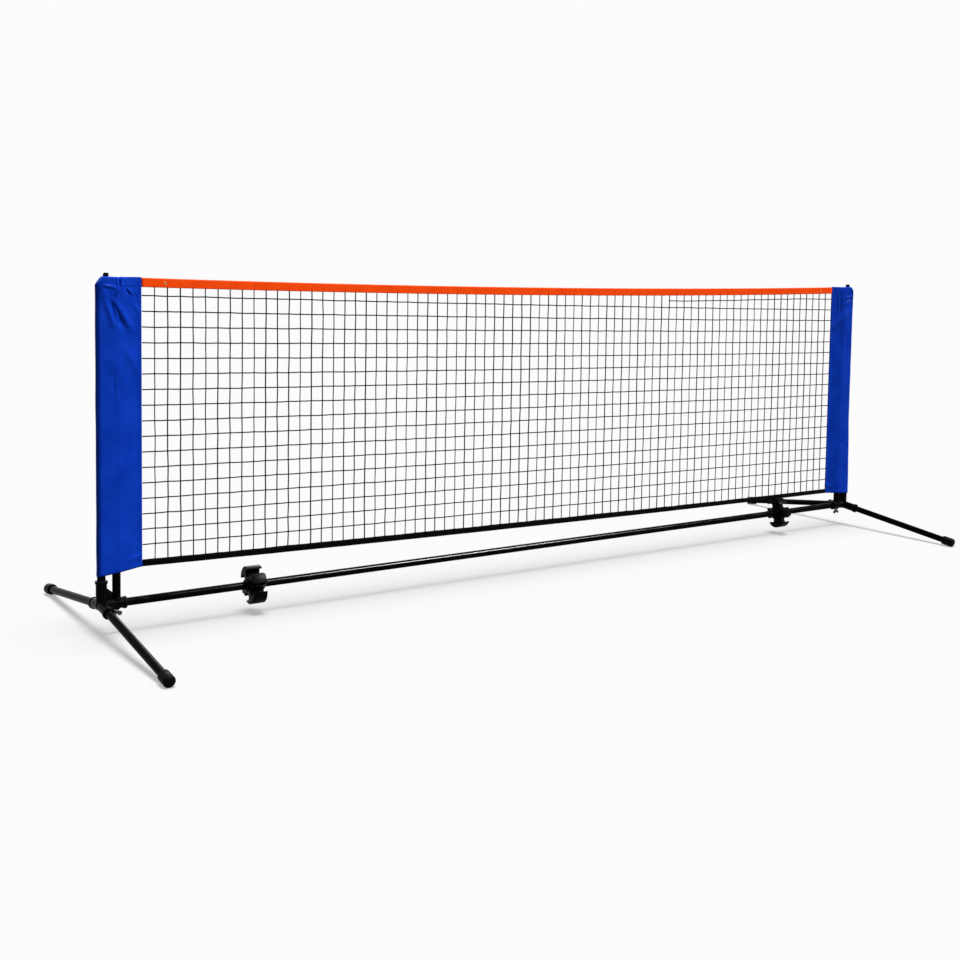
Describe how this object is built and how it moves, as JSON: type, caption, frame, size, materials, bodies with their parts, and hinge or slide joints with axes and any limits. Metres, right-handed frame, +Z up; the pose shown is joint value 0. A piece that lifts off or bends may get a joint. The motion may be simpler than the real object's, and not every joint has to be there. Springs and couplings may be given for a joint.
{
  "type": "portable sports net",
  "caption": "Low portable sports net: fine black mesh with an orange top tape, hung between blue cloth sleeves on a black steel floor frame with splayed legs.",
  "frame": {"origin": "floor level, under the middle of the net", "axes": "+X along the net to the right seen from the front, +Y to the back, +Z up"},
  "size_m": [3.0012, 1.0206, 0.957],
  "materials": {
    "coated_steel": "satin black powder coat",
    "moulded_black": "fine grained moulded plastic",
    "foot_rubber": "matt",
    "zinc_steel": "bright zinc plate",
    "blue_cloth": "royal blue woven polyester with a soft sheen",
    "orange_tape": "bright orange woven tape",
    "black_tape": "black woven tape",
    "net_string": "black knotted string",
    "eyelet_metal": "pressed eyelet"
  },
  "bodies": {
    "frame": {"corner_left": "moulded_black", "corner_right": "moulded_black", "rail_left": "coated_steel", "rail_middle": "coated_steel", "rail_right": "coated_steel", "arm_bolts": "zinc_steel", "arm_washers": "zinc_steel"},
    "posts": {"post_left": "coated_steel", "post_right": "coated_steel", "upright_left": "coated_steel", "upright_right": "coated_steel", "post_cap_left": "moulded_black", "post_cap_right": "moulded_black", "upright_plug_left": "moulded_black", "upright_plug_right": "moulded_black"},
    "net_set": {"sleeve_left": "blue_cloth", "sleeve_right": "blue_cloth", "tape_top": "orange_tape", "tape_bottom": "black_tape", "net_mesh": "net_string", "eyelets": "eyelet_metal"},
    "nut_left": {"wing_nut_left": "zinc_steel"},
    "nut_right": {"wing_nut_right": "zinc_steel"},
    "storage_clip_left": {"clip_left": "moulded_black"},
    "storage_clip_right": {"clip_right": "moulded_black"},
    "front_left_leg": {"leg_front_left": "coated_steel", "foot_front_left": "foot_rubber"},
    "front_right_leg": {"leg_front_right": "coated_steel", "foot_front_right": "foot_rubber"},
    "back_left_leg": {"leg_back_left": "coated_steel", "foot_back_left": "foot_rubber"},
    "back_right_leg": {"leg_back_right": "coated_steel", "foot_back_right": "foot_rubber"}
  },
  "joints": [
    {"name": "posts_lift", "type": "slide", "parent": "frame", "child": "posts", "axis": [0, 0, 1], "range_m": [0, 0.05]},
    {"name": "net_lift", "type": "slide", "parent": "posts", "child": "net_set", "axis": [0, 0, 1], "range_m": [0, 0.8]},
    {"name": "nut_left_spin", "type": "hinge", "parent": "frame", "child": "nut_left", "pos_m": [-1.4435, 0, 0.055], "axis": [0, 0, 1], "continuous": true},
    {"name": "nut_right_spin", "type": "hinge", "parent": "frame", "child": "nut_right", "pos_m": [1.4435, 0, 0.055], "axis": [0, 0, 1], "continuous": true},
    {"name": "clip_left_turn", "type": "hinge", "parent": "frame", "child": "storage_clip_left", "pos_m": [-1.05, 0, 0.07955], "axis": [1, 0, 0], "continuous": true},
    {"name": "clip_right_turn", "type": "hinge", "parent": "frame", "child": "storage_clip_right", "pos_m": [1.11, 0, 0.07955], "axis": [1, 0, 0], "continuous": true},
    {"name": "front_left_leg_out", "type": "slide", "parent": "frame", "child": "front_left_leg", "axis": [0, -0.9919, -0.1271], "range_m": [0, 0.05]},
    {"name": "front_right_leg_out", "type": "slide", "parent": "frame", "child": "front_right_leg", "axis": [0, -0.9919, -0.1271], "range_m": [0, 0.05]},
    {"name": "back_left_leg_out", "type": "slide", "parent": "frame", "child": "back_left_leg", "axis": [0, 0.9919, -0.1271], "range_m": [0, 0.05]},
    {"name": "back_right_leg_out", "type": "slide", "parent": "frame", "child": "back_right_leg", "axis": [0, 0.9919, -0.1271], "range_m": [0, 0.05]}
  ]
}
